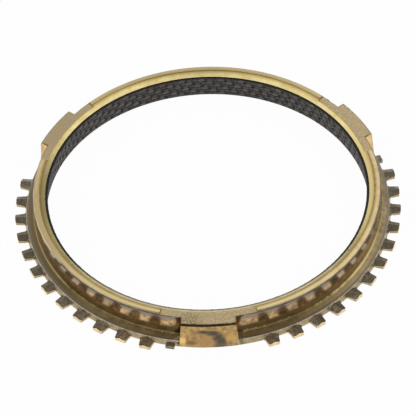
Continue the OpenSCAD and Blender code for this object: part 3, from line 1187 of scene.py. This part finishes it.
@dataclass
class Stage:
    """Floor, light and camera.

    Attributes:
        camera_azimuth_deg: the camera's bearing about +Z.
        camera_elevation_deg: its height above the toothed face.
        camera_distance_mm: its distance from the point it looks at.
        camera_roll_deg: how far it is turned about its own axis.
        lens_mm: focal length.
        sensor_mm: width of the sensor.
        clip_mm: distance from which the camera sees.
        aim_height_mm: height of the point it looks at, on the ring's axis.
        frame_px: width of the picture.
        offset_px: where that point lies from the picture's middle, to the right and down.
        floor_half_mm: half the width of the floor.
        floor_drop_mm: how far the floor lies under the ring.
        floor_white: share of plain white in what the lens and the metal see of the floor.
        shaded_floor_mm: radii between which the floor, dull inside the ring, shows white in the metal.
        sky: brightness of the studio, as the sine of the elevation and a hex grey.
        shades: dark parts of the studio.
    """

    camera_azimuth_deg: float = 271.3
    camera_elevation_deg: float = 46.6
    camera_distance_mm: float = 679.7
    camera_roll_deg: float = -2.5
    lens_mm: float = 188.6
    sensor_mm: float = 36.0
    clip_mm: float = 10.0
    aim_height_mm: float = 0.66
    frame_px: int = 416
    offset_px: tuple[float, float] = (-0.28, -2.57)
    floor_half_mm: float = 1500.0
    floor_drop_mm: float = 0.02
    floor_white: float = 0.97
    shaded_floor_mm: tuple[float, float] = (38.0, 50.0)
    sky: Sequence[tuple[float, str]] = (
        (0.0, "e6e6e6"), (0.58, "f8f8f8"), (0.68, "fcfcfc"), (0.74, "e6e6e6"), (0.78, "e0e0e0"),
        (0.83, "ffffff"), (0.89, "ffffff"), (0.95, "505050"), (1.0, "282828"))
    shades: Sequence[Shade] = (
        Shade((0.69, 0.69, 0.22), 0.86, 0.98, 0.31), Shade((-0.34, 0.61, 0.71), 0.9, 0.97, 0.6))

    def build(self) -> None:
        """Makes everything around the ring."""
        self.add_floor()
        self.add_sky()
        self.add_camera()
        bpy.context.scene.view_settings.view_transform = "Standard"

    def add_floor(self) -> None:
        """Lays a white floor that shows white to the lens and to the metal, with a soft shadow."""
        half, drop = self.floor_half_mm * MM, -self.floor_drop_mm * MM
        corners = [(-half, -half, drop), (half, -half, drop), (half, half, drop), (-half, half, drop)]
        mesh = bpy.data.meshes.new("studio_floor")
        mesh.from_pydata(corners, [], [(0, 1, 2, 3)])
        floor = link_object("studio_floor", mesh)
        # Matt paper: an even white that takes a soft shadow.
        material, tree = new_material("white_paper")
        paper = add_node(tree, "ShaderNodeBsdfDiffuse", {"Color": linear_rgba("f4f4f4")})
        glow = add_node(tree, "ShaderNodeEmission", {"Color": linear_rgba("ffffff"), "Strength": 1.0})
        path = add_node(tree, "ShaderNodeLightPath")
        place = add_node(tree, "ShaderNodeTexCoord").outputs["Object"]
        reach = add_node(tree, "ShaderNodeVectorMath", {0: place}, operation="LENGTH")
        mirrored = add_node(tree, "ShaderNodeMapRange", {
            "Value": reach.outputs["Value"], "From Min": self.shaded_floor_mm[0] * MM,
            "From Max": self.shaded_floor_mm[1] * MM, "To Min": 0.0, "To Max": path.outputs["Is Glossy Ray"]})
        seen = add_node(tree, "ShaderNodeMath", {
            0: path.outputs["Is Camera Ray"], 1: mirrored.outputs["Result"]}, operation="MAXIMUM")
        share = add_node(tree, "ShaderNodeMath", {
            0: seen.outputs["Value"], 1: self.floor_white}, operation="MULTIPLY")
        both = add_node(tree, "ShaderNodeMixShader", {
            0: share.outputs["Value"], 1: paper.outputs["BSDF"], 2: glow.outputs["Emission"]})
        add_node(tree, "ShaderNodeOutputMaterial", {"Surface": both.outputs["Shader"]})
        mesh.materials.append(material)

    def add_sky(self) -> None:
        """Surrounds the ring with a pale studio wall, dark overhead and in two corners."""
        world = bpy.data.worlds.new("studio")
        bpy.context.scene.world = world
        world.use_nodes = True
        tree = world.node_tree
        tree.nodes.clear()
        way = add_node(tree, "ShaderNodeTexCoord").outputs["Generated"]
        parts = add_node(tree, "ShaderNodeSeparateXYZ", {"Vector": way})
        ramp = add_node(tree, "ShaderNodeValToRGB", {"Fac": parts.outputs["Z"]})
        stops = ramp.color_ramp.elements
        while len(stops) < len(self.sky):
            stops.new(0.5)
        for stop, (position, grey) in zip(stops, self.sky):
            stop.position = position
            stop.color = linear_rgba(grey)
        strength: Any = 1.0
        for shade in self.shades:
            toward = add_node(tree, "ShaderNodeVectorMath", {0: way, 1: shade.direction},
                              operation="DOT_PRODUCT")
            strength = add_node(tree, "ShaderNodeMapRange", {
                "Value": toward.outputs["Value"], "From Min": shade.edge, "From Max": shade.full,
                "To Min": strength, "To Max": shade.light_left}).outputs["Result"]
        light = add_node(tree, "ShaderNodeBackground", {"Color": ramp.outputs["Color"], "Strength": strength})
        white = add_node(tree, "ShaderNodeBackground", {"Color": linear_rgba("ffffff"), "Strength": 1.0})
        path = add_node(tree, "ShaderNodeLightPath")
        both = add_node(tree, "ShaderNodeMixShader", {
            0: path.outputs["Is Camera Ray"], 1: light.outputs["Background"], 2: white.outputs["Background"]})
        add_node(tree, "ShaderNodeOutputWorld", {"Surface": both.outputs["Shader"]})

    def add_camera(self) -> None:
        """Places the camera at the photograph's viewing angle."""
        lens = bpy.data.cameras.new("camera")
        lens.lens = self.lens_mm
        lens.sensor_width = self.sensor_mm
        lens.sensor_fit = "HORIZONTAL"
        lens.clip_start = self.clip_mm * MM
        lens.shift_x = -self.offset_px[0] / self.frame_px
        lens.shift_y = self.offset_px[1] / self.frame_px
        camera = bpy.data.objects.new("camera", lens)
        bpy.context.scene.collection.objects.link(camera)
        bearing = math.radians(self.camera_azimuth_deg)
        rise = math.radians(self.camera_elevation_deg)
        aim = Vector((0, 0, self.aim_height_mm * MM))
        level = math.cos(rise)
        back = Vector((level * math.cos(bearing), level * math.sin(bearing), math.sin(rise)))
        turn = back.to_track_quat("Z", "Y").to_matrix().to_4x4()
        roll = Matrix.Rotation(math.radians(self.camera_roll_deg), 4, "Z")
        camera.matrix_world = Matrix.Translation(aim + back * self.camera_distance_mm * MM) @ turn @ roll
        bpy.context.scene.camera = camera


def main() -> None:
    """Builds the stage and the pieces, and logs how many faces each piece has."""
    logging.basicConfig(level=logging.INFO, format="%(name)s: %(message)s")
    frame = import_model()
    Stage().build()
    ring = RingBody().build(frame["nodes"]["ring_body"])
    log.info("brass ring: %d faces", len(ring.data.polygons))
    lining = WovenLining().build(frame["nodes"]["friction_lining"])
    log.info("woven lining: %d faces", len(lining.data.polygons))


if __name__ == "__main__":
    main()
